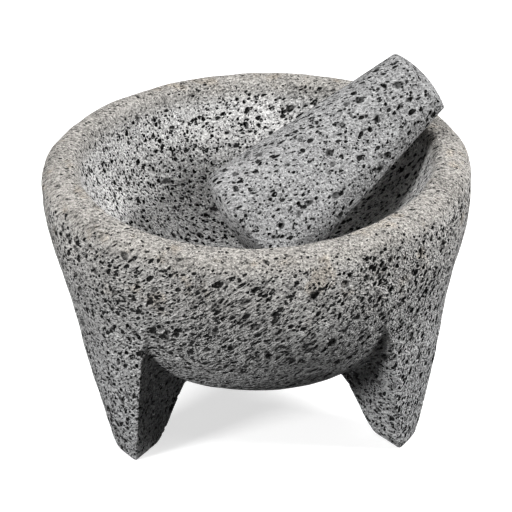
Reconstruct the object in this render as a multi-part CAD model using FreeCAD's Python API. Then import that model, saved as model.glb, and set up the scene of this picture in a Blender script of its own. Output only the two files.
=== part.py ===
"""Molcajete: a three-legged mortar carved from one block of vesicular basalt, with its
tejolote, the hand stone that grinds in it and rests across the rim when it is not in use.

Millimetres, +Z up. The origin is on the ground, under the centre of the bowl. The mortar is a
turned form (rounded belly, lip and bowl) on three tapering legs; the tejolote is a tapered
round stone dressed with four long flats. It leans where it would really lie, with the edge of
its working end on the bowl and its side on the inner lip.
"""
import FreeCAD, Part
import math
import os
from FreeCAD import Placement, Rotation, Vector

# ---- mortar -------------------------------------------------------------------------------
RIM_RADIUS = 100.0          # widest radius, just under the rim
HEIGHT = 135.0              # ground to the top of the rim
OUTER_LIP = 9.5             # rounding from the rim down the outside
INNER_LIP = 5.0             # rounding from the rim into the bowl
MOUTH_RADIUS = 83.0         # where the bowl would meet the rim if its edge were sharp
BOWL_DEPTH = 65.0           # rim to the lowest point of the bowl
WALL_BULGE = 75.0           # radius of the outside in profile, below the lip
UNDERSIDE_HEIGHT = 25.0     # ground to the lowest point of the belly
HIP_HEIGHT = 82.0           # ground to where the wall turns under, between the legs

# ---- legs ---------------------------------------------------------------------------------
LEG_COUNT = 3
FIRST_LEG_AZIMUTH = 91.8    # degrees from +X, seen from above
FOOT_RADIUS = 77.8          # outer face of a leg at the ground, from the bowl's axis
FOOT_DEPTH = 21.0           # inner ridge to outer face at the ground
RIDGE_SLOPE = 28.5          # slope of the inner ridge, degrees from upright
LEG_HALF_ANGLE = 26.5       # between the middle of a leg and each of its two side faces
RIDGE_ROUND = 8.0           # rounding along the inner ridge
ROOT_ROUND = 8.0            # hollow where a leg grows out of the belly
ARRIS_ROUND = 4.0           # rounding along the outer corners of the legs and along the hip
SOLE_ROUND = 4.0            # rounding around the sole

# ---- tejolote -----------------------------------------------------------------------------
STONE_LENGTH = 104.0        # between the rims of its two ends
WORKING_RADIUS = 32.5
HANDLE_RADIUS = 18.3
WORKING_CROWN = 9.0         # how far the grinding end bulges
HANDLE_CROWN = 4.0
WORKING_ROUND = 6.0         # rounding around the grinding end
HANDLE_ROUND = 3.0
FLAT_ANGLES = (66.0, 147.0, 213.0, 294.0)   # middle of each flat, from the stone's upper side
FLAT_SHARE = 0.1            # depth of a flat as a share of the stone's radius there
LEAN_AZIMUTH = 18.0         # where the handle points, degrees from +X
LEAN_ELEVATION = 35.5       # how steeply the stone leans
SEAT_GAP = 0.3              # gap left at each of its two seats

UP = Vector(0, 0, 1)
ORIGIN = Vector(0, 0, 0)
TOUCH = 0.01                # two surfaces this close are taken to touch


def turn(angle):
    """A turn about the upright axis, in degrees."""
    return Placement(ORIGIN, Rotation(UP, angle))


def between_legs():
    """The turn that puts the seam of a turned form half way between two legs."""
    return turn(FIRST_LEG_AZIMUTH - 180 / LEG_COUNT)


def middle(edge):
    """The point half way along an edge."""
    return edge.valueAt((edge.FirstParameter + edge.LastParameter) / 2)


# ---- mortar -------------------------------------------------------------------------------
def wall_centre():
    """Centre of the wall's bulge, in the XZ plane: the wall is upright where it meets the lip."""
    return Vector(RIM_RADIUS - WALL_BULGE, 0, HEIGHT - OUTER_LIP)


def splay():
    """Slope of the legs' outer face in radians: it runs straight from the bulge to the foot."""
    reach = Vector(FOOT_RADIUS, 0, 0) - wall_centre()
    return math.atan2(-reach.z, reach.x) - math.acos(WALL_BULGE / reach.Length)


def wall_radius(height):
    """Radius of the straight part of the outside at this height."""
    return FOOT_RADIUS + height * math.tan(splay())


def bowl_radius():
    """Radius of the round bowl that has this mouth and this depth."""
    return (MOUTH_RADIUS ** 2 + BOWL_DEPTH ** 2) / (2 * BOWL_DEPTH)


def bowl_centre():
    """Centre of the bowl's sphere, on the axis."""
    return Vector(0, 0, HEIGHT - BOWL_DEPTH + bowl_radius())


def lip_centre():
    """Centre of the inner lip's rounding, in the XZ plane: it touches the rim and the bowl."""
    height = HEIGHT - INNER_LIP
    reach = bowl_radius() + INNER_LIP
    return Vector(math.sqrt(reach ** 2 - (height - bowl_centre().z) ** 2), 0, height)


def outside():
    """The mortar's outside turned about the axis: lip, bulging wall and straight legs in one."""
    centre = wall_centre()
    bulge_end = centre + Vector(math.cos(splay()), 0, -math.sin(splay())) * WALL_BULGE
    bulge_middle = centre + Vector(math.cos(splay() / 2), 0, -math.sin(splay() / 2)) * WALL_BULGE
    shoulder = Vector(RIM_RADIUS, 0, HEIGHT - OUTER_LIP)
    rim_edge = Vector(RIM_RADIUS - OUTER_LIP, 0, HEIGHT)
    lip_middle = Vector(rim_edge.x, 0, shoulder.z) + Vector(1, 0, 1).normalize() * OUTER_LIP
    foot = Vector(FOOT_RADIUS, 0, 0)
    rim_middle = Vector(0, 0, HEIGHT)
    profile = Part.Wire([
        Part.LineSegment(ORIGIN, foot).toShape(),
        Part.LineSegment(foot, bulge_end).toShape(),
        Part.Arc(bulge_end, bulge_middle, shoulder).toShape(),
        Part.Arc(shoulder, lip_middle, rim_edge).toShape(),
        Part.LineSegment(rim_edge, rim_middle).toShape(),
        Part.LineSegment(rim_middle, ORIGIN).toShape(),
    ])
    turned = Part.Face(profile).revolve(ORIGIN, UP, 360)
    turned.Placement = between_legs()
    return turned


def belly():
    """The ball whose underside is the belly: it meets the wall at the hip."""
    reach = wall_radius(HIP_HEIGHT)
    rise = HIP_HEIGHT - UNDERSIDE_HEIGHT
    radius = (reach ** 2 + rise ** 2) / (2 * rise)
    ball = Part.makeSphere(radius)
    ball.Placement = between_legs()
    ball.translate(UP * (UNDERSIDE_HEIGHT + radius))
    return ball


def bowl_hollow():
    """What is carved out to make the bowl: a round hollow that flares out over its lip."""
    centre = bowl_centre()
    lip = lip_centre()
    to_lip = (lip - centre).normalize()
    floor = centre - UP * bowl_radius()
    bowl_middle = centre + (to_lip - UP).normalize() * bowl_radius()
    bowl_edge = centre + to_lip * bowl_radius()
    lip_middle = lip + (UP - to_lip).normalize() * INNER_LIP
    lip_top = lip + UP * INNER_LIP
    clear_top = lip_top + UP * INNER_LIP
    axis_top = Vector(0, 0, clear_top.z)
    profile = Part.Wire([
        Part.Arc(floor, bowl_middle, bowl_edge).toShape(),
        Part.Arc(bowl_edge, lip_middle, lip_top).toShape(),
        Part.LineSegment(lip_top, clear_top).toShape(),
        Part.LineSegment(clear_top, axis_top).toShape(),
        Part.LineSegment(axis_top, floor).toShape(),
    ])
    return Part.Face(profile).revolve(ORIGIN, UP, 360)


def leg_section(height):
    """A leg's triangle at one height: its inner ridge, and sides that run out past the wall."""
    ridge = FOOT_RADIUS - FOOT_DEPTH - height * math.tan(math.radians(RIDGE_SLOPE))
    past_wall = 2 * RIM_RADIUS
    half_width = (past_wall - ridge) * math.tan(math.radians(LEG_HALF_ANGLE))
    ridge_point = Vector(ridge, 0, height)
    left = Vector(past_wall, half_width, height)
    right = Vector(past_wall, -half_width, height)
    return Part.makePolygon([ridge_point, left, right, ridge_point])


def wedge(azimuth):
    """The wedge that a leg is cut from, with its inner ridge rounded, from under the ground up."""
    bottom = -SOLE_ROUND
    top = HIP_HEIGHT + 3 * ROOT_ROUND
    blank = Part.makeLoft([leg_section(bottom), leg_section(top)], True, True)
    ridge = [edge for edge in blank.Edges
             if edge.BoundBox.ZLength > top / 2 and abs(middle(edge).y) < RIDGE_ROUND]
    rounded = blank.makeFillet(RIDGE_ROUND, ridge)
    rounded.Placement = turn(azimuth)
    return rounded


def shared_edges(body, first, others):
    """The body's edges that lie both on the first shape's surface and on one of the others'."""
    found = []
    for edge in body.Edges:
        if edge.Degenerated:
            continue
        point = Part.Vertex(middle(edge))
        on_first = first.Shells[0].distToShape(point)[0] < TOUCH
        if on_first and min(one.Shells[0].distToShape(point)[0] for one in others) < TOUCH:
            found.append(edge)
    return found


def mortar():
    """The mortar: a ball on three wedges with hollow roots, cut to its outside, then the bowl.

    The roots are hollowed while ball and wedges still run past the outside, so that their
    ends are cut off clean with the rest.
    """
    ball = belly()
    wedges = [wedge(FIRST_LEG_AZIMUTH + index * 360 / LEG_COUNT) for index in range(LEG_COUNT)]
    joined = ball.fuse(wedges).Solids[0]
    roots = [edge for edge in shared_edges(joined, ball, wedges)
             if middle(edge).z < HIP_HEIGHT + ROOT_ROUND]
    rooted = joined.makeFillet(ROOT_ROUND, roots)
    skin = outside()
    standing = rooted.common(skin).Solids[0]
    arrises = [edge for edge in shared_edges(standing, skin, [rooted])
               if TOUCH < middle(edge).z < HEIGHT - OUTER_LIP]
    eased = standing.makeFillet(ARRIS_ROUND, arrises)
    soles = [edge for edge in eased.Edges if edge.BoundBox.ZMax < TOUCH]
    eased = eased.makeFillet(SOLE_ROUND, soles)
    return eased.cut(bowl_hollow()).Solids[0]


# ---- tejolote -----------------------------------------------------------------------------
def taper():
    """How much the stone's side leans in towards the handle, in radians."""
    return math.atan2(WORKING_RADIUS - HANDLE_RADIUS, STONE_LENGTH)


def crown_sphere(rim_radius, crown):
    """Radius of the sphere that bulges by this crown over an end of this radius."""
    return (rim_radius ** 2 + crown ** 2) / (2 * crown)


def crown_arc(rim, pole, rim_radius, crown, inward):
    """The profile's arc over one end, from its rim to its pole on the axis."""
    radius = crown_sphere(rim_radius, crown)
    centre = pole + inward * radius
    crest = centre + (rim + pole - centre * 2).normalize() * radius
    return Part.Arc(rim, crest, pole).toShape()


def turned_stone():
    """The tejolote before it is dressed: along +Z, the rim of its grinding end at the origin."""
    working_rim = Vector(WORKING_RADIUS, 0, 0)
    handle_rim = Vector(HANDLE_RADIUS, 0, STONE_LENGTH)
    working_pole = UP * -WORKING_CROWN
    handle_pole = UP * (STONE_LENGTH + HANDLE_CROWN)
    profile = Part.Wire([
        crown_arc(working_rim, working_pole, WORKING_RADIUS, WORKING_CROWN, UP),
        Part.LineSegment(working_rim, handle_rim).toShape(),
        crown_arc(handle_rim, handle_pole, HANDLE_RADIUS, HANDLE_CROWN, -UP),
        Part.LineSegment(handle_pole, working_pole).toShape(),
    ])
    return Part.Face(profile).revolve(ORIGIN, UP, 360)


def flat_cutter(angle):
    """A block whose face trims one long flat, leaning with the taper so the flat keeps its share."""
    kept = 1 - FLAT_SHARE
    lean = math.atan2(kept * (WORKING_RADIUS - HANDLE_RADIUS), STONE_LENGTH)
    length = 2 * STONE_LENGTH
    block = Part.makeBox(WORKING_RADIUS, length, length, Vector(0, -length / 2, -length / 2))
    block.Placement = Placement(
        Vector(kept * WORKING_RADIUS, 0, 0), Rotation(Vector(0, 1, 0), -math.degrees(lean)))
    block.Placement = turn(angle) * block.Placement
    return block


def tejolote():
    """The dressed stone along +Z, its upper side towards +X."""
    stone = turned_stone()
    rims = [edge for edge in stone.Edges if not edge.Degenerated and edge.isClosed()]
    working = [edge for edge in rims if middle(edge).z < STONE_LENGTH / 2]
    eased = stone.makeFillet(WORKING_ROUND, working)
    rims = [edge for edge in eased.Edges if not edge.Degenerated and edge.isClosed()]
    handle = [edge for edge in rims if abs(middle(edge).z - STONE_LENGTH) < TOUCH]
    eased = eased.makeFillet(HANDLE_ROUND, handle)
    return eased.cut([flat_cutter(angle) for angle in FLAT_ANGLES]).Solids[0]


def working_round_centre():
    """Centre of the grinding end's rounding: distance along the stone, and off its axis."""
    radius = crown_sphere(WORKING_RADIUS, WORKING_CROWN)
    sphere = radius - WORKING_CROWN
    reach = radius - WORKING_ROUND
    slope = taper()
    offset = WORKING_RADIUS * math.cos(slope) - WORKING_ROUND
    # The centre is on the side's line moved in by the rounding, and on the crown moved in too.
    from_line = offset - sphere * math.sin(slope)
    along = math.sqrt(reach ** 2 - from_line ** 2)
    out = from_line * math.cos(slope) + along * math.sin(slope)
    down = sphere + from_line * math.sin(slope) - along * math.cos(slope)
    return down, out


def lean_placement():
    """Where the stone comes to rest: its side on the inner lip, its working edge on the bowl.

    Everything happens in the upright plane through the bowl's axis and the stone's own axis,
    here XZ. The side's line has to pass the lip's rounding by the gap, which fixes how far it
    stands off; the stone then slides along that line until its working edge is a gap away
    from the bowl's sphere.
    """
    lean = math.radians(LEAN_ELEVATION)
    along = Vector(math.cos(lean), 0, math.sin(lean))
    under = Vector(math.sin(lean), 0, -math.cos(lean))
    side = lean + taper()
    slide = Vector(math.cos(side), 0, math.sin(side))
    outward = Vector(math.sin(side), 0, -math.cos(side))
    stand_off = (lip_centre() - under * WORKING_RADIUS).dot(outward) - INNER_LIP - SEAT_GAP
    down, out = working_round_centre()
    start = outward * stand_off + along * down + under * out - bowl_centre()
    reach = bowl_radius() - WORKING_ROUND - SEAT_GAP
    half = start.dot(slide)
    travel = -half - math.sqrt(half ** 2 - start.dot(start) + reach ** 2)
    base = outward * stand_off + slide * travel
    leaning = Placement(base, Rotation(Vector(0, 1, 0), 90 - LEAN_ELEVATION))
    upper_side_up = turn(180)
    return turn(LEAN_AZIMUTH) * leaning * upper_side_up


def main():
    """Build both stones and write each to its own file."""
    os.makedirs("parts", exist_ok=True)
    stone = tejolote()
    stone.Placement = lean_placement()
    mortar().exportStep("parts/mortar.step")
    stone.exportStep("parts/tejolote.step")


main()
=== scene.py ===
"""Molcajete of vesicular basalt: the mortar and its tejolote as dense carved stone.

Both stones are closed surfaces worked out on grids, filled out to an even mesh, made slightly
uneven as by hand, and then eaten by vesicles: gas bubbles at random places in the rock, each
of which sinks the surface that lies inside it. The materials work out the same bubbles by the
same formula, so a hollow in the mesh also gets painted shade, a dark hole, in the material.
Lengths are in metres; MM turns millimetres into them.
"""
import math

import bpy
import numpy as np
from mathutils import Euler, Matrix, Vector


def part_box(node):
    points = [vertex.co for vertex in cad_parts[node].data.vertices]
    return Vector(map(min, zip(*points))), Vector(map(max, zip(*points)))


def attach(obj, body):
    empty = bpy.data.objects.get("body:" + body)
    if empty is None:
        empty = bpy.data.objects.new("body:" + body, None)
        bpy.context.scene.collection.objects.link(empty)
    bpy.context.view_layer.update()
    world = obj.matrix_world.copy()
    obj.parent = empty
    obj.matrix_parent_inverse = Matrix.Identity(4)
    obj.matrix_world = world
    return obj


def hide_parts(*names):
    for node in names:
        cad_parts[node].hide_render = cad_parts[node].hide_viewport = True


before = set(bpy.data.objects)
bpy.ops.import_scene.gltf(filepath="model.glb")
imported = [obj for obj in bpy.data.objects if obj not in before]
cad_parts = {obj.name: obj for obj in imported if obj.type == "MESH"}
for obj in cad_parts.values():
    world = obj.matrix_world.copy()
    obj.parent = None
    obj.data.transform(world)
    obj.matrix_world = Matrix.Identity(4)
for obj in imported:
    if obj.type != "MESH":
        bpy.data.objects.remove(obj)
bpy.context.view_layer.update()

MM = 0.001

# ---- mortar -------------------------------------------------------------------------------
MORTAR_LOW, MORTAR_HIGH = (np.array(corner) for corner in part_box("mortar"))
RIM_RADIUS = (MORTAR_HIGH[0] - MORTAR_LOW[0]) / 2
HEIGHT = MORTAR_HIGH[2]
OUTER_LIP = 9.5 * MM
INNER_LIP = 5 * MM
MOUTH_RADIUS = 83 * MM
BOWL_DEPTH = 65 * MM
UNDERSIDE_HEIGHT = 26 * MM
BELLY_FULLNESS = 2.16       # exponent of the underside's curve; 2 would make it an ellipse
LEG_AZIMUTHS = (91.8, 211.8, 331.8)     # degrees from +X
FOOT_RADIUS = 77.8 * MM
FOOT_DEPTH = 21 * MM
OUTER_SPLAY = 9.8           # slope of a leg's outer face, degrees from upright
RIDGE_SLOPE = 28.5          # slope of its inner ridge, degrees from upright
LEG_HALF_ANGLE = 26.5       # between the middle of a leg and each of its side faces
LEG_EDGE_BLEND = 7 * MM
SOLE_BLEND = 8 * MM
ROOT_BLEND = 15 * MM
FRONT_DIP = 5 * MM          # how much lower the rim was carved at the front
DIP_START = 75 * MM         # height from which the dip grows
SOLE_EASE = 3 * MM          # height over which the unevenness grows from a flat sole
MORTAR_COLUMNS = 900
BELLY_ROWS = 420
OUTER_LIP_ROWS = 30
INNER_LIP_ROWS = 24
BOWL_ROWS = 240

# ---- tejolote -----------------------------------------------------------------------------
STONE_LENGTH = 104 * MM
WORKING_RADIUS = 32.5 * MM
HANDLE_RADIUS = 18.3 * MM
WORKING_CROWN = 9 * MM
HANDLE_CROWN = 4 * MM
WORKING_ROUND = 6 * MM
HANDLE_ROUND = 3 * MM
FLAT_ANGLES = (66, 147, 213, 294)
FLAT_SHARE = 0.1
ARRIS_BLEND = 1.2 * MM
STEEPEST_FACING = 0.05      # flats are not followed where they face farther aside than this
LEAN_AZIMUTH = 18
LEAN_ELEVATION = 35.5
CROWN_ROWS = 70
EDGE_ROWS = 24
SIDE_ROWS = 200
STONE_COLUMNS = 420

# ---- rock: every size of bubble is a dict of its cell, the stretch of its bubbles along the
# old lava flow, radii in cells (smallest + spread * chance ** 2), the share of cells that
# hold one, how deep a hollow it may leave in the mesh, how far the material's relief sinks round
# it, and how much painted shade darkens its hole, from 0 to 1 ---------------------------------
FLOW = Euler((0, math.radians(-36), math.radians(-29)))
LARGE = dict(cell=6.2 * MM, stretch=1.4, smallest=0.1, spread=0.2, share=0.5,
             deepest=1.8 * MM, edge=1.0 * MM, painted_shade=0.65)
MIDDLE = dict(cell=2.5 * MM, stretch=2.0, smallest=0.16, spread=0.27, share=0.9,
              deepest=1.4 * MM, edge=1.0 * MM, painted_shade=0.98)
SMALL = dict(cell=1.4 * MM, stretch=1.9, smallest=0.15, spread=0.26, share=0.9,
             deepest=0.6 * MM, edge=0.6 * MM, painted_shade=0.98)
FEWER = dict(MIDDLE, share=0.6)                 # the tejolote's own sizes
PINHOLES = dict(SMALL, share=0.8, spread=0.2)
MORTAR_SHIFT = 0.0          # in cells: keeps the two stones from holding the same bubbles
TEJOLOTE_SHIFT = 31.0
CHANCE_OF_SIZE = (7.1, 13.7, 29.3)
CHANCE_OF_BUBBLE = (17.3, 5.9, 11.1)
WAVES = (                   # turn, waves' frequency and height in cells: they bend the bubbles
    (Euler((1.1, 0.7, 0.4)), 3.1, 0.13),
    (Euler((0.5, 2.3, 1.9)), 7.7, 0.06),
)
HOLE_SHADE_EDGE = (0.03, 0.09)    # in cells beyond a bubble's wall: the painted shade of a hole ends between these
SUNK_EDGE = (-0.12, 0.16)   # the same for the softer relief round it
RIM_SHRINK = 0.45           # how much smaller the bubbles look where the rim is worn
WALL_GROWTH = 0.08          # how much larger they look outside, where nothing rubs the stone
OUTSIDE_RADIUS = (80 * MM, 88 * MM)     # each pair is where a change begins and where it ends
WORN_HEIGHT = (HEIGHT - 12 * MM, HEIGHT - 3 * MM)
BELLY_TOP = (55 * MM, 65 * MM)      # the bowl's floor is higher than this, the belly lower
UNEVEN = ((34 * MM, 3, 1.0), (11 * MM, 8, 0.4))     # wavelength, seed and share of handwork
UNEVEN_WAVES = 9
WAVELENGTH_RANGE = (0.7, 1.5)
LAST_PHASE = 6.3            # radians: the waves start anywhere in about one turn
MORTAR_SWELL = 0.7 * MM     # how deep the unevenness of handwork goes
TEJOLOTE_SWELL = 0.4 * MM
FINE_VOXEL = 0.5 * MM
SHARP_ANGLE = 50
TRIANGLES = dict(mortar=195000, tejolote=150000)

# ---- ground mass: sizes of its features, and how much each adds ----------------------------
PATCHES = 22 * MM
LUMPS = 4 * MM
STRANDS = 1.2 * MM
STRAND_STRETCH = 3.2        # the strands are drawn out along the old lava flow
CRUMBS = 0.9 * MM
CRYSTAL_GLINTS = 0.8 * MM
STRAND_SHARE = 0.55
CRUMB_SHARE = 0.45
PATCH_SWING = 0.5
CRYSTAL_GLINT_EDGE = (0.62, 0.68)
CRYSTAL_GLINT_TONE = (0.45, 0.9)    # the tone away from a bright speck and on it; the specks are pale crystals and painted glints
FINE_RELIEF = 2.6           # mm
LUMP_RELIEF = 1.2           # mm
GRAIN_CONTRAST = 2.5
OUTSIDE_RELIEF = 0.5        # how much more relief the wall, the legs and the belly have

# ---- colour: how far the rim is rubbed, the feet cooler and the upper wall stained ----------
RUBBED = 0.85
FOOT_HEIGHT = (30 * MM, 100 * MM)
FOOT_TINT = 0.8
BLOTCHES = 13 * MM
BLOTCH_EDGE = (0.55, 0.68)
BLOTCH_TINT = (0.15, 0.7)
STAIN_HEIGHT = (HEIGHT - 45 * MM, HEIGHT - 15 * MM)
TONE_ENDS = (0.1, 0.9)
ROUGHNESS = (0.95, 0.7)     # of the dark tone and of the pale one
SPECULAR = 0.12

# ---- camera: aimed at a point on the axis, with a slight roll ------------------------------
VIEW_HEIGHT = 80 * MM
VIEW_DISTANCE = 1500 * MM
VIEW_ELEVATION = 27.4
VIEW_ROLL = 1.728
LENS = 224.1
LENS_SHIFT = (-0.0058, 0.0065)

# ---- studio -------------------------------------------------------------------------------
FLOOR_HALF = 4.0
FLOOR_FADE = (0.55, 1.3)    # the floor grows as white as the backdrop between these distances
FLOOR_GLOW = 0.66           # how much light the floor gives the camera close by
FLOOR_SEEN = 0.55           # grey of the floor to the camera, to gloss and through glass
FLOOR_UNSEEN = 0.015        # grey of the floor to all other rays
DOME_LIGHT = 0.22
LOW_LIGHT = 0.01            # from below and from the sides
DOME_EDGE = (0.15, 0.6)     # upward direction from which the dome's light grows, and where it ends
LAMPS = (                   # name, place, size of the soft box and power in watts
    ("left_lamp", (-1.2, -1.0, 0.76), 0.35, 32),
    ("right_lamp", (1.38, -0.45, 1.0), 0.35, 39),
    ("back_lamp", (0.5, 1.15, 1.35), 0.5, 14),
    ("overhead_lamp", (-0.45, 0.1, 1.6), 0.6, 13),
)


# ---- meshes -------------------------------------------------------------------------------
def smooth_max(first, second, width):
    """The larger of two fields, with their crossing rounded over a width."""
    share = np.clip(0.5 + 0.5 * (first - second) / width, 0, 1)
    return second + (first - second) * share + width * share * (1 - share)


def smooth_min(first, second, width):
    """The smaller of two fields, with their crossing rounded over a width."""
    return -smooth_max(-first, -second, width)


def smooth_step(field, low, high):
    """0 below low, 1 above high, and 3t^2 - 2t^3 between them."""
    t = np.clip((field - low) / (high - low), 0, 1)
    return t * t * (3 - 2 * t)


def closed_surface(name, points):
    """A closed mesh on a grid of points (row, column, xyz) whose columns go round.

    The first and the last row are single points, the poles. Quads join the rows between them
    and fans of triangles join the poles, all of them facing outwards.
    """
    rows, columns = points.shape[:2]
    ring = np.arange(columns)
    after = np.roll(ring, -1)
    starts = 1 + columns * np.arange(rows - 3)[:, None]
    quads = np.stack([
        starts + ring,
        starts + after,
        starts + columns + after,
        starts + columns + ring,
    ], axis=-1).reshape(-1, 4)
    last_ring = 1 + columns * (rows - 3)
    top = 1 + columns * (rows - 2)
    low_fan = np.stack([np.zeros_like(ring), 1 + after, 1 + ring], axis=-1)
    high_fan = np.stack([last_ring + ring, last_ring + after, np.full_like(ring, top)], axis=-1)
    fans = np.concatenate([low_fan, high_fan])
    corners = np.concatenate([
        points[:1, 0],
        points[1:-1].reshape(-1, 3),
        points[-1:, 0],
    ])
    sizes = np.concatenate([np.full(len(quads), 4), np.full(len(fans), 3)])
    mesh = bpy.data.meshes.new(name)
    mesh.vertices.add(len(corners))
    mesh.vertices.foreach_set("co", corners.ravel())
    mesh.loops.add(int(sizes.sum()))
    mesh.loops.foreach_set("vertex_index", np.concatenate([quads.ravel(), fans.ravel()]))
    mesh.polygons.add(len(sizes))
    mesh.polygons.foreach_set("loop_start", np.concatenate([[0], np.cumsum(sizes)[:-1]]))
    mesh.update(calc_edges=True)
    thing = bpy.data.objects.new(name, mesh)
    bpy.context.collection.objects.link(thing)
    return thing


def finish_modifiers(thing):
    """Turns what an object's modifiers make into its own mesh, and drops them."""
    graph = bpy.context.evaluated_depsgraph_get()
    made = bpy.data.meshes.new_from_object(thing.evaluated_get(graph))
    thing.modifiers.clear()
    old = thing.data
    thing.data = made
    bpy.data.meshes.remove(old)


def even_mesh(thing, voxel):
    """Fills the surface out to quads of one size, whatever the grid was."""
    remesh = thing.modifiers.new("even", "REMESH")
    remesh.mode = "VOXEL"
    remesh.voxel_size = voxel
    finish_modifiers(thing)


def thin_out(thing, triangles):
    """Collapses the flattest faces until about this many triangles are left."""
    mesh = thing.data
    mesh.calc_loop_triangles()
    ratio = triangles / len(mesh.loop_triangles)
    if ratio < 1:
        decimate = thing.modifiers.new("thin", "DECIMATE")
        decimate.ratio = ratio
        decimate.use_collapse_triangulate = True
        finish_modifiers(thing)


def belly_height(radius):
    """Underside of the turned belly: a quarter of a superellipse from the axis to the wall."""
    rise = HEIGHT - OUTER_LIP - UNDERSIDE_HEIGHT
    inner = np.clip(1 - (radius / RIM_RADIUS) ** BELLY_FULLNESS, 0, 1)
    return HEIGHT - OUTER_LIP - rise * inner ** (1 / BELLY_FULLNESS)


def leg_height(x, y, azimuth):
    """Lower surface of one leg: the highest of its outer cone, its side planes and the floor."""
    turn = math.radians(azimuth)
    along = x * math.cos(turn) + y * math.sin(turn)
    across = y * math.cos(turn) - x * math.sin(turn)
    outer = (np.hypot(x, y) - FOOT_RADIUS) / math.tan(math.radians(OUTER_SPLAY))
    spread = np.abs(across) / math.tan(math.radians(LEG_HALF_ANGLE))
    ridge = FOOT_RADIUS - FOOT_DEPTH - along
    lean = math.tan(math.radians(RIDGE_SLOPE))
    sides = smooth_max((ridge + spread) / lean, (ridge - spread) / lean, LEG_EDGE_BLEND)
    faces = smooth_max(sides, outer, LEG_EDGE_BLEND)
    return smooth_max(faces, 0 * faces, SOLE_BLEND)


def mortar_surface():
    """The whole mortar as rows of rings, from under the belly, up the wall and down the bowl.

    The lower rows are a height over the ground: the belly's, rounded into each leg's. The
    upper rows are turned: the outer lip's quarter circle, the inner lip's arc and the bowl's
    sphere, which touch each other. At the front everything above DIP_START is lowered by the
    dip times the square of the sine of the azimuth.
    """
    azimuth = np.linspace(0, 2 * math.pi, MORTAR_COLUMNS, endpoint=False)
    quarter = np.linspace(0, math.pi / 2, BELLY_ROWS)
    low_radius = RIM_RADIUS * np.sin(quarter) ** (2 / BELLY_FULLNESS)
    x = low_radius[:, None] * np.cos(azimuth)
    y = low_radius[:, None] * np.sin(azimuth)
    low_height = belly_height(np.hypot(x, y))
    for leg in LEG_AZIMUTHS:
        low_height = smooth_min(low_height, leg_height(x, y, leg), ROOT_BLEND)

    bowl_radius = (MOUTH_RADIUS ** 2 + BOWL_DEPTH ** 2) / (2 * BOWL_DEPTH)
    bowl_centre = HEIGHT - BOWL_DEPTH + bowl_radius
    lip_height = HEIGHT - INNER_LIP
    lip_radius = math.sqrt((bowl_radius + INNER_LIP) ** 2 - (bowl_centre - lip_height) ** 2)
    meet = math.atan2(lip_radius, bowl_centre - lip_height)
    outer_turn = np.linspace(0, math.pi / 2, OUTER_LIP_ROWS)[1:]
    inner_turn = np.linspace(math.pi, meet, INNER_LIP_ROWS)
    bowl_turn = np.linspace(meet, 0, BOWL_ROWS)[1:]
    high_radius = np.concatenate([
        RIM_RADIUS - OUTER_LIP + OUTER_LIP * np.cos(outer_turn),
        lip_radius - INNER_LIP * np.sin(inner_turn),
        bowl_radius * np.sin(bowl_turn),
    ])
    high_height = np.concatenate([
        HEIGHT - OUTER_LIP + OUTER_LIP * np.sin(outer_turn),
        lip_height - INNER_LIP * np.cos(inner_turn),
        bowl_centre - bowl_radius * np.cos(bowl_turn),
    ])
    radius = np.concatenate([low_radius, high_radius])
    turned = np.repeat(high_height[:, None], MORTAR_COLUMNS, axis=1)
    height = np.concatenate([low_height, turned])
    front = np.clip(-np.sin(azimuth), 0, 1) ** 2
    height -= FRONT_DIP * front * smooth_step(height, DIP_START, HEIGHT - OUTER_LIP)
    points = np.stack([
        radius[:, None] * np.cos(azimuth),
        radius[:, None] * np.sin(azimuth),
        height,
    ], axis=-1)
    return closed_surface("mortar_stone", points)


def stone_end(rim, crown, rounding, slope):
    """Profile of one end of the tejolote, from its pole to its side, as radius and height.

    The pole bulges as a sphere, and an arc of the rounding's radius touches both the sphere
    and the side, which leans by slope. Heights grow from the rim into the stone.
    """
    sphere = (rim ** 2 + crown ** 2) / (2 * crown)
    centre = sphere - crown
    from_line = rim * math.cos(slope) - rounding - centre * math.sin(slope)
    along = math.sqrt((sphere - rounding) ** 2 - from_line ** 2)
    out = from_line * math.cos(slope) + along * math.sin(slope)
    up = centre + from_line * math.sin(slope) - along * math.cos(slope)
    meet = math.atan2(out, centre - up)
    crown_turn = np.linspace(0, meet, CROWN_ROWS)
    edge_turn = np.linspace(meet, math.pi / 2 + slope, EDGE_ROWS)[1:]
    radius = [sphere * np.sin(crown_turn), out + rounding * np.sin(edge_turn)]
    height = [centre - sphere * np.cos(crown_turn), up - rounding * np.cos(edge_turn)]
    return np.concatenate(radius), np.concatenate(height)


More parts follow.
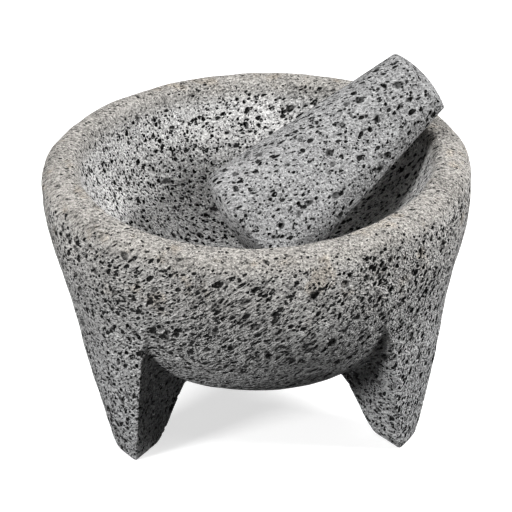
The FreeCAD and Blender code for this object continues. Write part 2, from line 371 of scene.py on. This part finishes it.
def stone_surface():
    """The tejolote: a turned taper with two crowned ends, its sides trimmed by four flats.

    Round the axis, the radius is the turned one or the distance to the nearest flat, whichever
    is less. The stone leans as the CAD one does, and its box is brought onto the CAD one's.
    """
    taper = math.atan2(WORKING_RADIUS - HANDLE_RADIUS, STONE_LENGTH)
    work_radius, work_height = stone_end(WORKING_RADIUS, WORKING_CROWN, WORKING_ROUND, taper)
    hand_radius, hand_height = stone_end(HANDLE_RADIUS, HANDLE_CROWN, HANDLE_ROUND, -taper)
    share = np.linspace(0, 1, SIDE_ROWS)[1:-1]
    side_end = STONE_LENGTH - hand_height[-1]
    radius = np.concatenate([
        work_radius,
        work_radius[-1] + (hand_radius[-1] - work_radius[-1]) * share,
        hand_radius[::-1],
    ])[:, None]
    height = np.concatenate([
        work_height,
        work_height[-1] + (side_end - work_height[-1]) * share,
        STONE_LENGTH - hand_height[::-1],
    ])[:, None]
    azimuth = np.linspace(0, 2 * math.pi, STONE_COLUMNS, endpoint=False)
    tapered = WORKING_RADIUS - (WORKING_RADIUS - HANDLE_RADIUS) * height / STONE_LENGTH
    for flat in FLAT_ANGLES:
        facing = np.maximum(np.cos(azimuth - math.radians(flat)), STEEPEST_FACING)
        radius = smooth_min(radius, (1 - FLAT_SHARE) * tapered / facing, ARRIS_BLEND)
    radius[0] = radius[-1] = 0
    upright = np.stack([
        radius * np.cos(azimuth),
        radius * np.sin(azimuth),
        height + 0 * radius,
    ], axis=-1)
    lean = (Matrix.Rotation(math.radians(LEAN_AZIMUTH), 3, "Z")
            @ Matrix.Rotation(math.radians(90 - LEAN_ELEVATION), 3, "Y")
            @ Matrix.Rotation(math.pi, 3, "Z"))
    leaning = upright @ np.array(lean).T
    low, high = (np.array(corner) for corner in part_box("tejolote"))
    flat_points = leaning.reshape(-1, 3)
    leaning += (low + high) / 2 - (flat_points.min(axis=0) + flat_points.max(axis=0)) / 2
    return closed_surface("tejolote_stone", leaning)


# ---- rock ---------------------------------------------------------------------------------
WORD = np.uint32
HASH_START = 0xDEADBEEF + 13        # to which four times the number of words hashed is added


def roll(word, places):
    """A 32-bit word turned left by a number of places."""
    return (word << WORD(places)) | (word >> WORD(32 - places))


def last_mix(a, b, c):
    """The closing rounds of the lookup hash, with its third word as the result."""
    for first, second, places in (("c", "b", 14), ("a", "c", 11), ("b", "a", 25), ("c", "b", 16),
                                  ("a", "c", 4), ("b", "a", 14), ("c", "b", 24)):
        words = dict(a=a, b=b, c=c)
        words[first] = (words[first] ^ words[second]) - roll(words[second], places)
        a, b, c = words["a"], words["b"], words["c"]
    return c


def middle_mix(a, b, c):
    """One round of mixing between two helpings of the lookup hash."""
    for places in (4, 6, 8, 16, 19, 4):
        a = (a - c) ^ roll(c, places)
        c = c + b
        a, b, c = b, c, a
    return a, b, c


def cell_chances(cells):
    """Three chances from 0 to 1 for each whole-numbered cell, the ones that Voronoi nodes use."""
    x, y, z = np.moveaxis((cells + 0.0).astype(np.float32).view(WORD), -1, 0)
    start = WORD(HASH_START + 4 * 3)
    found = [last_mix(start + x, start + y, start + z)]
    start = WORD(HASH_START + 4 * 4)
    for extra in (1.0, 2.0):
        a, b, c = middle_mix(start + x, start + y, start + z)
        found.append(last_mix(a + np.float32(extra).view(WORD), b, c))
    return np.stack(found, axis=-1) / float(0xFFFFFFFF)


def bubble_radii(chances, bubbles):
    """Radius in cells of the bubble of each cell, or 0 where the cell holds none."""
    size = (chances @ np.array(CHANCE_OF_SIZE)) % 1
    present = (chances @ np.array(CHANCE_OF_BUBBLE)) % 1 < bubbles["share"]
    return (bubbles["smallest"] + bubbles["spread"] * size ** 2) * present


def bent(place):
    """Places in cells after two sine waves have bent them, so that no bubble is quite round."""
    for turn, frequency, height in WAVES:
        place = place + height * np.sin(place @ np.array(turn.to_matrix()).T * frequency)
    return place


def bubble_depth(points, normals, bubbles, shift, shrink):
    """How far each point sinks along its normal to reach the far wall of the bubble it is in.

    In cells, a bubble is a ball round the nearest of the random centres. Going down by t from
    p the ball's wall is met where |p - c - t n| = r, so t = (b + sqrt(b^2 - a (|p - c|^2 -
    r^2))) / a with a = n . n and b = (p - c) . n.
    """
    turn = np.array(FLOW.to_matrix())
    scale = bubbles["cell"] * np.array([bubbles["stretch"], 1, 1])
    place = bent(points @ turn / scale + shift)
    inward = normals @ turn / scale
    cell = np.floor(place).astype(int)
    low = cell.min(axis=0) - 1
    counts = cell.max(axis=0) - low + 2
    every = np.stack(np.meshgrid(*(np.arange(n) for n in counts), indexing="ij"), axis=-1) + low
    chances = cell_chances(every)
    radii = bubble_radii(chances, bubbles)
    nearest = np.full(len(points), np.inf)
    offset = np.zeros_like(points)
    radius = np.zeros(len(points))
    for step in np.ndindex(3, 3, 3):
        index = tuple((cell - low + np.array(step) - 1).T)
        away = place - (cell + np.array(step) - 1 + chances[index])
        distance = (away ** 2).sum(axis=1)
        closer = distance < nearest
        nearest[closer] = distance[closer]
        offset[closer] = away[closer]
        radius[closer] = radii[index][closer]
    radius = radius * (1 - shrink)
    a = (inward ** 2).sum(axis=1)
    b = (offset * inward).sum(axis=1)
    inside = radius ** 2 - nearest
    depth = (b + np.sqrt(np.maximum(b * b + a * inside, 0))) / a
    return np.where(inside > 0, np.minimum(depth, bubbles["deepest"]), 0)


def unevenness(points, wavelength, seed):
    """A smooth field from 0 to 1: sine waves of about one length in random directions."""
    chance = np.random.default_rng(seed)
    total = np.zeros(len(points))
    for _ in range(UNEVEN_WAVES):
        direction = chance.normal(size=3)
        direction /= np.linalg.norm(direction)
        length = wavelength * chance.uniform(*WAVELENGTH_RANGE)
        phase = chance.uniform(0, LAST_PHASE)
        total += np.sin(points @ direction * (2 * math.pi / length) + phase)
    return np.clip(0.5 + total / UNEVEN_WAVES, 0, 1)


def outside_share(radius, level):
    """1 on the wall, legs and belly, 0 in the bowl and on the worn rim."""
    low = 1 - smooth_step(level, *BELLY_TOP)
    wall = np.maximum(smooth_step(radius, *OUTSIDE_RADIUS), low)
    return wall * (1 - smooth_step(level, *WORN_HEIGHT))


def weather(thing, layers, shift, swell, worn_rim):
    """Carves the unevenness of handwork and the pits of the bubbles into a stone's mesh.

    Each point moves inwards along its normal by the unevenness, and then by the depth of the
    deepest bubble it is in; both fade out towards the flat soles.
    """
    mesh = thing.data
    count = len(mesh.vertices)
    points = np.empty(count * 3, dtype=np.float32)
    normals = np.empty(count * 3, dtype=np.float32)
    mesh.vertices.foreach_get("co", points)
    mesh.vertex_normals.foreach_get("vector", normals)
    points = points.reshape(-1, 3).astype(float)
    normals = normals.reshape(-1, 3).astype(float)
    radius = np.hypot(points[:, 0], points[:, 1])
    level = points[:, 2] + FRONT_DIP * np.clip(-points[:, 1] / radius, 0, 1) ** 2
    worn = smooth_step(level, *WORN_HEIGHT) * worn_rim
    outside = outside_share(radius, level) * worn_rim
    shrink = RIM_SHRINK * worn - WALL_GROWTH * outside
    ease = smooth_step(points[:, 2], 0, SOLE_EASE)[:, None]
    uneven = swell * sum(share * unevenness(points, wavelength, seed)
                         for wavelength, seed, share in UNEVEN)
    moved = points - normals * uneven[:, None] * ease
    depth = np.max([bubble_depth(moved, normals, one, shift, shrink) for one in layers], axis=0)
    moved -= normals * depth[:, None] * ease
    mesh.vertices.foreach_set("co", moved.astype(np.float32).ravel())
    mesh.update()


def finished_stone(thing, body, layers, shift, swell, worn_rim, material):
    """Takes a stone from its plain surface to the finished piece on its body."""
    even_mesh(thing, FINE_VOXEL)
    weather(thing, layers, shift, swell, worn_rim)
    thin_out(thing, TRIANGLES[body])
    thing.data.shade_smooth()
    thing.data.set_sharp_from_angle(angle=math.radians(SHARP_ANGLE))
    thing.data.materials.clear()
    thing.data.materials.append(material)
    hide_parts(body)
    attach(thing, body)


# ---- shader helpers -----------------------------------------------------------------------
def feed(tree, socket, value):
    """Links a socket to another one, or sets its value."""
    if isinstance(value, bpy.types.NodeSocket):
        tree.links.new(value, socket)
    else:
        socket.default_value = value


def node(tree, kind, inputs=None, **settings):
    """A new node with its settings, its inputs fed by name or by number."""
    made = tree.nodes.new(kind)
    for name, value in settings.items():
        setattr(made, name, value)
    for name, value in (inputs or {}).items():
        feed(tree, made.inputs[name], value)
    return made


def calc(tree, operation, *values, clamp=False):
    """The output of a Math node on these values."""
    inputs = dict(enumerate(values))
    return node(tree, "ShaderNodeMath", inputs, operation=operation, use_clamp=clamp).outputs[0]


def ramp(tree, value, low, high, start=0.0, end=1.0):
    """A value that goes smoothly from start at low to end at high."""
    inputs = {"Value": value, "From Min": low, "From Max": high, "To Min": start, "To Max": end}
    made = node(tree, "ShaderNodeMapRange", inputs, interpolation_type="SMOOTHSTEP")
    return made.outputs["Result"]


def noise(tree, place, size, detail=3.0, roughness=0.55):
    """Soft noise with features of about this size, in metres."""
    inputs = {"Vector": place, "Scale": 1 / size, "Detail": detail, "Roughness": roughness}
    return node(tree, "ShaderNodeTexNoise", inputs).outputs["Fac"]


def mixed(tree, share, first, second, blend="MIX"):
    """Two colours mixed by a share."""
    made = node(tree, "ShaderNodeMix", data_type="RGBA", blend_type=blend)
    feed(tree, made.inputs["Factor"], share)
    feed(tree, made.inputs[6], first)
    feed(tree, made.inputs[7], second)
    return made.outputs[2]


def grey(value, warmth=0.0):
    """A stone colour of this lightness, warmer above 0 and cooler below."""
    return (value * (1 + warmth), value, value * (1 - 1.6 * warmth), 1)


def new_group(name, inputs, outputs):
    """An empty shader group with these named sockets, and its two end nodes."""
    group = bpy.data.node_groups.new(name, "ShaderNodeTree")
    for label, (kind, value) in inputs.items():
        socket = group.interface.new_socket(label, in_out="INPUT", socket_type=kind)
        socket.default_value = value
    for label, kind in outputs.items():
        group.interface.new_socket(label, in_out="OUTPUT", socket_type=kind)
    return group, group.nodes.new("NodeGroupInput"), group.nodes.new("NodeGroupOutput")


FLOAT = "NodeSocketFloat"
VECTOR = "NodeSocketVector"


def vesicle_group():
    """Bubbles in the rock, from a place in cells: a mask of painted shade in the holes, and one
    with soft edges.

    It is what bent(), cell_chances() and bubble_radii() work out for the mesh.
    """
    group, given, result = new_group(
        "vesicles",
        {
            "Place": (VECTOR, (0, 0, 0)),
            "Smallest": (FLOAT, 0.1),
            "Spread": (FLOAT, 0.3),
            "Share": (FLOAT, 1.0),
            "Shrink": (FLOAT, 0.0),
        },
        {"HoleShade": FLOAT, "Sunk": FLOAT},
    )
    place = given.outputs["Place"]
    for turn, frequency, height in WAVES:
        turned = node(group, "ShaderNodeVectorRotate", {"Vector": place, "Rotation": turn},
                      rotation_type="EULER_XYZ")
        phase = node(group, "ShaderNodeVectorMath", {0: turned.outputs[0], "Scale": frequency},
                     operation="SCALE")
        wave = node(group, "ShaderNodeVectorMath", {0: phase.outputs[0]}, operation="SINE")
        moved = node(group, "ShaderNodeVectorMath", {
            0: wave.outputs[0], 1: (height,) * 3, 2: place}, operation="MULTIPLY_ADD")
        place = moved.outputs[0]
    nearest = node(group, "ShaderNodeTexVoronoi", {"Vector": place, "Scale": 1.0})
    chances = [
        calc(group, "FRACT", node(
            group, "ShaderNodeVectorMath", {0: nearest.outputs["Color"], 1: weights},
            operation="DOT_PRODUCT").outputs["Value"])
        for weights in (CHANCE_OF_SIZE, CHANCE_OF_BUBBLE)
    ]
    present = calc(group, "LESS_THAN", chances[1], given.outputs["Share"])
    size = calc(group, "MULTIPLY", chances[0], chances[0])
    grown = calc(group, "MULTIPLY_ADD", size, given.outputs["Spread"], given.outputs["Smallest"])
    radius = calc(group, "MULTIPLY", grown, calc(group, "SUBTRACT", 1.0, given.outputs["Shrink"]))
    beyond = calc(group, "SUBTRACT", nearest.outputs["Distance"], radius)
    # the mask of the painted shade in a bubble's hole
    hole_shade = ramp(group, beyond, *HOLE_SHADE_EDGE, 1.0, 0.0)
    feed(group, result.inputs["HoleShade"], calc(group, "MULTIPLY", hole_shade, present))
    sunk = ramp(group, beyond, *SUNK_EDGE, 1.0, 0.0)
    feed(group, result.inputs["Sunk"], calc(group, "MULTIPLY", sunk, present))
    return group


def grain_group():
    """The ground mass: pale crystals, painted glints and dark glass, as a tone from 0 to 1 and a
    height in mm.
    """
    group, given, result = new_group(
        "grain",
        {"Place": (VECTOR, (0, 0, 0)), "Contrast": (FLOAT, 1.0)},
        {"Tone": FLOAT, "Height": FLOAT},
    )
    place = given.outputs["Place"]
    drawn = node(group, "ShaderNodeMapping", {
        "Vector": place,
        "Rotation": FLOW,
        "Scale": (STRAND_STRETCH, 1, 1),
    }, vector_type="TEXTURE")
    patches = noise(group, place, PATCHES, 2.0)
    lumps = noise(group, place, LUMPS, 1.0)
    strands = noise(group, drawn.outputs[0], STRANDS, 2.0, 0.5)
    crumbs = noise(group, place, CRUMBS, 1.0, 0.5)
    fine = calc(group, "ADD", calc(group, "MULTIPLY", strands, STRAND_SHARE),
                calc(group, "MULTIPLY", crumbs, CRUMB_SHARE))
    swing = calc(group, "MULTIPLY", calc(group, "SUBTRACT", fine, 0.5), given.outputs["Contrast"])
    drift = calc(group, "MULTIPLY", calc(group, "SUBTRACT", patches, 0.5), PATCH_SWING)
    # bright specks: partly pale crystals, partly painted glints in place of highlights
    crystal_glints = ramp(group, noise(group, place, CRYSTAL_GLINTS, 1.0), *CRYSTAL_GLINT_EDGE, *CRYSTAL_GLINT_TONE)
    tone = calc(group, "ADD", calc(group, "ADD", swing, drift), crystal_glints, clamp=True)
    rough = calc(group, "MULTIPLY", fine, FINE_RELIEF)
    relief = calc(group, "MULTIPLY_ADD", lumps, LUMP_RELIEF, rough)
    feed(group, result.inputs["Tone"], tone)
    feed(group, result.inputs["Height"], relief)
    return group


VESICLES = vesicle_group()
GRAIN = grain_group()


def bubbles_in(tree, place, bubbles, shift, shrink):
    """Places the vesicle group for one size of bubble; its outputs mask the painted shade of its
    holes and the sunk relief round them.
    """
    cell = bubbles["cell"]
    scaled = node(tree, "ShaderNodeMapping", {
        "Vector": place,
        "Rotation": FLOW,
        "Scale": (cell * bubbles["stretch"], cell, cell),
    }, vector_type="TEXTURE")
    cells = node(tree, "ShaderNodeVectorMath", {0: scaled.outputs[0], 1: (shift,) * 3})
    made = node(tree, "ShaderNodeGroup", node_tree=VESICLES)
    feed(tree, made.inputs["Place"], cells.outputs[0])
    feed(tree, made.inputs["Smallest"], bubbles["smallest"])
    feed(tree, made.inputs["Spread"], bubbles["spread"])
    feed(tree, made.inputs["Share"], bubbles["share"])
    feed(tree, made.inputs["Shrink"], shrink)
    return made


def rim_place(tree, place):
    """Radius of a place, and its height as it would be if the rim had no dip at the front."""
    apart = node(tree, "ShaderNodeSeparateXYZ", {0: place})
    flat = node(tree, "ShaderNodeVectorMath", {0: place, 1: (1, 1, 0)}, operation="MULTIPLY")
    radius = node(tree, "ShaderNodeVectorMath", {0: flat.outputs[0]}, operation="LENGTH")
    toward = calc(tree, "DIVIDE", apart.outputs["Y"], radius.outputs["Value"])
    front = calc(tree, "MINIMUM", toward, 0.0)
    square = calc(tree, "MULTIPLY", front, front)
    level = calc(tree, "MULTIPLY_ADD", square, FRONT_DIP, apart.outputs["Z"])
    return radius.outputs["Value"], level


def basalt(name, sizes, shift, colours, worn_rim):
    """Vesicular basalt: a grainy ground mass, with holes painted dark as shade where it meets its
    bubbles.

    With worn_rim the rim is rubbed, the feet cooler and the upper wall stained. The relief is
    in millimetres: the grain's height less how far the surface sinks at each bubble.
    """
    material = bpy.data.materials.new(name)
    material.use_nodes = True
    tree = material.node_tree
    shader = tree.nodes["Principled BSDF"]
    place = node(tree, "ShaderNodeTexCoord").outputs["Object"]
    worn = outside = shrink = 0.0
    if worn_rim:
        radius, level = rim_place(tree, place)
        worn = ramp(tree, level, *WORN_HEIGHT)
        low = ramp(tree, level, *BELLY_TOP, 1.0, 0.0)
        wall = calc(tree, "MAXIMUM", ramp(tree, radius, *OUTSIDE_RADIUS), low)
        outside = calc(tree, "MULTIPLY", wall, calc(tree, "SUBTRACT", 1.0, worn))
        growth = calc(tree, "MULTIPLY", outside, WALL_GROWTH)
        shrink = calc(tree, "SUBTRACT", calc(tree, "MULTIPLY", worn, RIM_SHRINK), growth)
    grain = node(tree, "ShaderNodeGroup", {"Place": place, "Contrast": GRAIN_CONTRAST},
                 node_tree=GRAIN)
    colour = mixed(tree, grain.outputs["Tone"], colours["dark"], colours["pale"])
    if worn_rim:
        rubbed = mixed(tree, grain.outputs["Tone"], colours["worn_dark"], colours["worn_pale"])
        colour = mixed(tree, calc(tree, "MULTIPLY", worn, RUBBED), colour, rubbed)
        foot = ramp(tree, level, *FOOT_HEIGHT, FOOT_TINT, 0.0)
        colour = mixed(tree, foot, colour, colours["foot"], "MULTIPLY")
        blotches = ramp(tree, noise(tree, place, BLOTCHES), *BLOTCH_EDGE, *BLOTCH_TINT)
        upper = ramp(tree, level, *STAIN_HEIGHT)
        stained = calc(tree, "MULTIPLY", calc(tree, "MULTIPLY", blotches, wall), upper)
        colour = mixed(tree, stained, colour, colours["stain"], "MULTIPLY")
    relief = calc(tree, "MULTIPLY", grain.outputs["Height"],
                  calc(tree, "MULTIPLY_ADD", outside, OUTSIDE_RELIEF, 1.0))
    # each size of bubble adds painted shade in its holes and sinks the relief round them
    hole_shades = None
    for bubbles in sizes:
        made = bubbles_in(tree, place, bubbles, shift, shrink)
        hole_shade = calc(tree, "MULTIPLY", made.outputs["HoleShade"], bubbles["painted_shade"])
        hole_shades = hole_shade if hole_shades is None else calc(tree, "MAXIMUM", hole_shades, hole_shade)
        sunk = calc(tree, "MULTIPLY", made.outputs["Sunk"], bubbles["edge"] / MM)
        relief = calc(tree, "SUBTRACT", relief, sunk)
    # the painted shade of the holes goes onto the colour here
    colour = mixed(tree, hole_shades, colour, colours["pit_shade"])
    feed(tree, shader.inputs["Base Color"], colour)
    bump = node(tree, "ShaderNodeBump", {"Strength": 1.0, "Distance": MM, "Height": relief})
    feed(tree, shader.inputs["Normal"], bump.outputs["Normal"])
    roughness = ramp(tree, grain.outputs["Tone"], *TONE_ENDS, *ROUGHNESS)
    feed(tree, shader.inputs["Roughness"], roughness)
    shader.inputs["Specular IOR Level"].default_value = SPECULAR
    return material


# ---- studio -------------------------------------------------------------------------------
def seen_rays(tree):
    """1 for the camera's own rays and for those by gloss and through glass, 0 for the rest."""
    path = node(tree, "ShaderNodeLightPath")
    return calc(tree, "MAXIMUM", path.outputs["Is Camera Ray"],
                calc(tree, "MAXIMUM", path.outputs["Is Glossy Ray"],
                     path.outputs["Is Transmission Ray"]))


def pale_floor():
    """A wide plain floor: near white with its soft shadow where seen, nearly black to the rest."""
    half = FLOOR_HALF
    mesh = bpy.data.meshes.new("floor")
    corners = [(-half, -half, 0), (half, -half, 0), (half, half, 0), (-half, half, 0)]
    mesh.from_pydata(corners, [], [(0, 1, 2, 3)])
    floor = bpy.data.objects.new("floor", mesh)
    bpy.context.collection.objects.link(floor)
    material = bpy.data.materials.new("pale_floor")
    material.use_nodes = True
    tree = material.node_tree
    tree.nodes.clear()
    seen = seen_rays(tree)
    shade = mixed(tree, seen, grey(FLOOR_UNSEEN), grey(FLOOR_SEEN))
    matt = node(tree, "ShaderNodeBsdfDiffuse", {"Color": shade})
    glow = node(tree, "ShaderNodeEmission", {"Color": grey(1.0)})
    place = node(tree, "ShaderNodeTexCoord").outputs["Object"]
    away = node(tree, "ShaderNodeVectorMath", {0: place}, operation="LENGTH").outputs["Value"]
    strength = ramp(tree, away, *FLOOR_FADE, FLOOR_GLOW, 1.0)
    feed(tree, glow.inputs["Strength"], calc(tree, "MULTIPLY", seen, strength))
    both = node(tree, "ShaderNodeAddShader", {0: matt.outputs[0], 1: glow.outputs[0]})
    node(tree, "ShaderNodeOutputMaterial", {"Surface": both.outputs[0]})
    mesh.materials.append(material)


def pale_world():
    """White behind the object where seen; to the rest a soft dome above and little below."""
    world = bpy.data.worlds.new("studio")
    bpy.context.scene.world = world
    world.use_nodes = True
    tree = world.node_tree
    tree.nodes.clear()
    seen = seen_rays(tree)
    direction = node(tree, "ShaderNodeTexCoord").outputs["Generated"]
    upward = node(tree, "ShaderNodeSeparateXYZ", {0: direction}).outputs["Z"]
    light = ramp(tree, upward, *DOME_EDGE, LOW_LIGHT, DOME_LIGHT)
    sky = node(tree, "ShaderNodeBackground", {"Color": grey(1.0)})
    feed(tree, sky.inputs["Strength"], ramp(tree, seen, 0.0, 1.0, light, 1.0))
    node(tree, "ShaderNodeOutputWorld", {"Surface": sky.outputs[0]})


def soft_lamp(name, place, size, power):
    """A square soft box at this place, facing the middle of the object."""
    data = bpy.data.lights.new(name, "AREA")
    data.shape = "SQUARE"
    data.size = size
    data.energy = power
    lamp = bpy.data.objects.new(name, data)
    lamp.location = place
    target = Vector((0, 0, VIEW_HEIGHT))
    lamp.rotation_euler = (target - lamp.location).to_track_quat("-Z", "Y").to_euler()
    bpy.context.collection.objects.link(lamp)


def studio_camera():
    """A long lens aimed at the middle of the object, rolled a little about its own axis."""
    data = bpy.data.cameras.new("camera")
    data.lens = LENS
    data.sensor_width = 36
    data.shift_x, data.shift_y = LENS_SHIFT
    data.clip_start = 0.05
    data.clip_end = 50
    camera = bpy.data.objects.new("camera", data)
    elevation = math.radians(VIEW_ELEVATION)
    back = Vector((0, -math.cos(elevation), math.sin(elevation)))
    camera.location = Vector((0, 0, VIEW_HEIGHT)) + back * VIEW_DISTANCE
    aim = (-back).to_track_quat("-Z", "Y").to_matrix()
    camera.rotation_euler = (aim @ Matrix.Rotation(math.radians(-VIEW_ROLL), 3, "Z")).to_euler()
    bpy.context.collection.objects.link(camera)
    bpy.context.scene.camera = camera


# ---- the object ---------------------------------------------------------------------------
mortar_basalt = basalt(
    "mortar_basalt", [LARGE, MIDDLE, SMALL], MORTAR_SHIFT,
    dict(
        dark=grey(0.1, 0.01),
        pale=grey(0.7, 0.01),
        worn_dark=grey(0.035, 0.05),
        worn_pale=grey(0.46, 0.035),
        foot=grey(1.0, -0.018),
        stain=(1.0, 0.9, 0.78, 1),
        # the next colour is the near-black painted shade of the holes
        pit_shade=grey(0.006),
    ),
    True,
)
tejolote_basalt = basalt(
    "tejolote_basalt", [LARGE, FEWER, PINHOLES], TEJOLOTE_SHIFT,
    # its last colour is the near-black painted shade of the holes
    dict(dark=grey(0.08, -0.005), pale=grey(0.47), pit_shade=grey(0.01)),
    False,
)
finished_stone(
    mortar_surface(), "mortar", [LARGE, MIDDLE],
    MORTAR_SHIFT, MORTAR_SWELL, True, mortar_basalt,
)
finished_stone(
    stone_surface(), "tejolote", [LARGE, FEWER],
    TEJOLOTE_SHIFT, TEJOLOTE_SWELL, False, tejolote_basalt,
)

pale_floor()
pale_world()
for name, place, size, power in LAMPS:
    soft_lamp(name, place, size, power)
studio_camera()
bpy.context.scene.view_settings.view_transform = "Standard"
